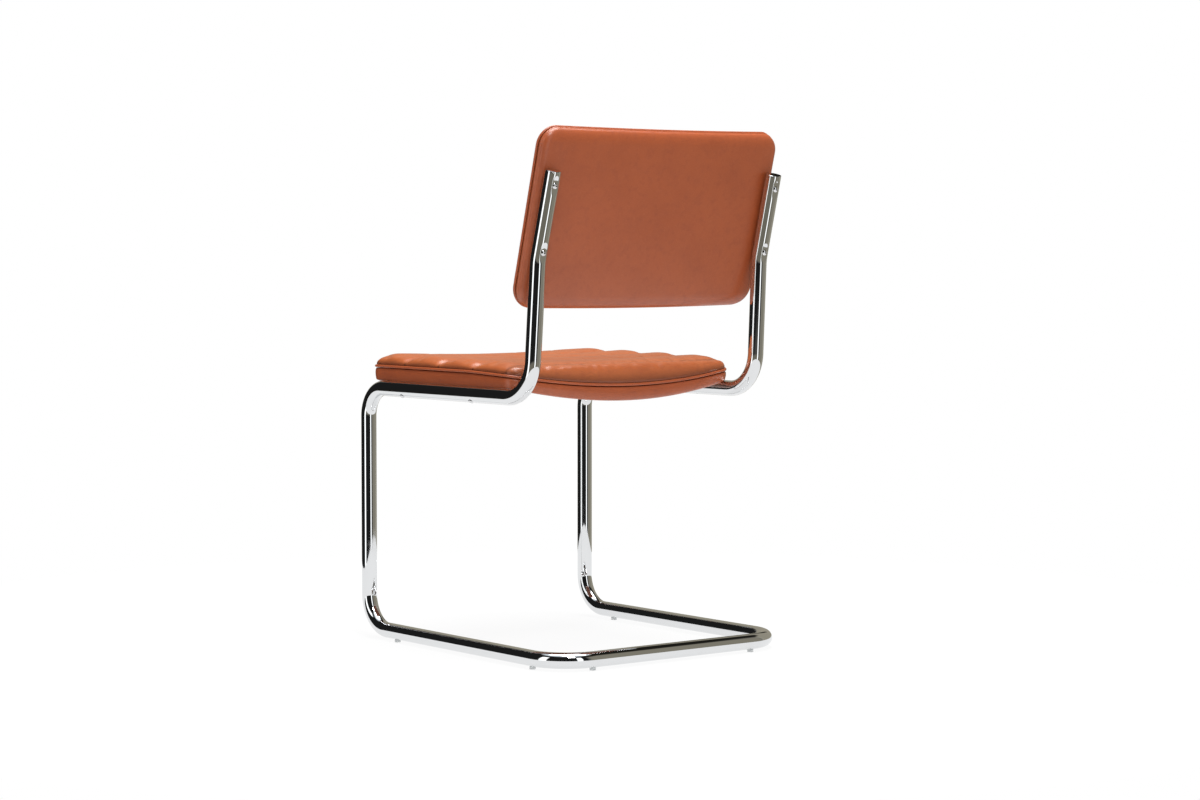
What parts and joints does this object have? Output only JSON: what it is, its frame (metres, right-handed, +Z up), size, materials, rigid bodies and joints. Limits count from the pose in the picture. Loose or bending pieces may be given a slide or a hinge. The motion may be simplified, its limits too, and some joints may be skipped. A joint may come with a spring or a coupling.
{
  "type": "cantilever chair",
  "caption": "Armless cantilever dining chair: one bent chromed steel tube carries a channelled leather seat and a smooth leather backrest.",
  "frame": {"origin": "on the floor under the middle of the frame, half way between the sides and between the front and the rear of the tube", "axes": "+Z up, -Y towards the front of the chair, +X towards the sitter's left"},
  "size_m": [0.472, 0.5434, 0.8256],
  "materials": {
    "chrome": "polished chromium plate",
    "screw": "polished",
    "insert": "zinc plated",
    "glide": "clear grey plastic",
    "leather": "smooth cognac leather with a soft sheen",
    "piping": "the same leather, drawn tight over a cord",
    "foam": "open foam",
    "wadding": "loose fibre",
    "plywood": "raw moulded plywood",
    "cloth": "thin woven lining"
  },
  "bodies": {
    "root": {"frame_tube": "chrome", "upright_cap_left": "chrome", "upright_cap_right": "chrome", "glide_front_left": "glide", "glide_front_right": "glide", "glide_side_left": "glide", "glide_side_right": "glide", "glide_rear_left": "glide", "glide_rear_right": "glide", "back_screw_upper_left": "screw", "back_screw_upper_right": "screw", "back_screw_lower_left": "screw", "back_screw_lower_right": "screw", "back_insert_upper_left": "insert", "back_insert_upper_right": "insert", "back_insert_lower_left": "insert", "back_insert_lower_right": "insert", "seat_screw_front_left": "screw", "seat_screw_front_right": "screw", "seat_screw_rear_left": "screw", "seat_screw_rear_right": "screw", "seat_border": "leather", "seat_piping": "piping", "seat_top_cover": "leather", "seat_foam": "foam", "seat_board": "plywood", "seat_underside_cloth": "cloth", "back_rear_cover": "leather", "back_piping": "piping", "back_front_cover": "leather", "back_foam": "foam", "back_wadding": "wadding", "back_board": "plywood"}
  },
  "joints": []
}
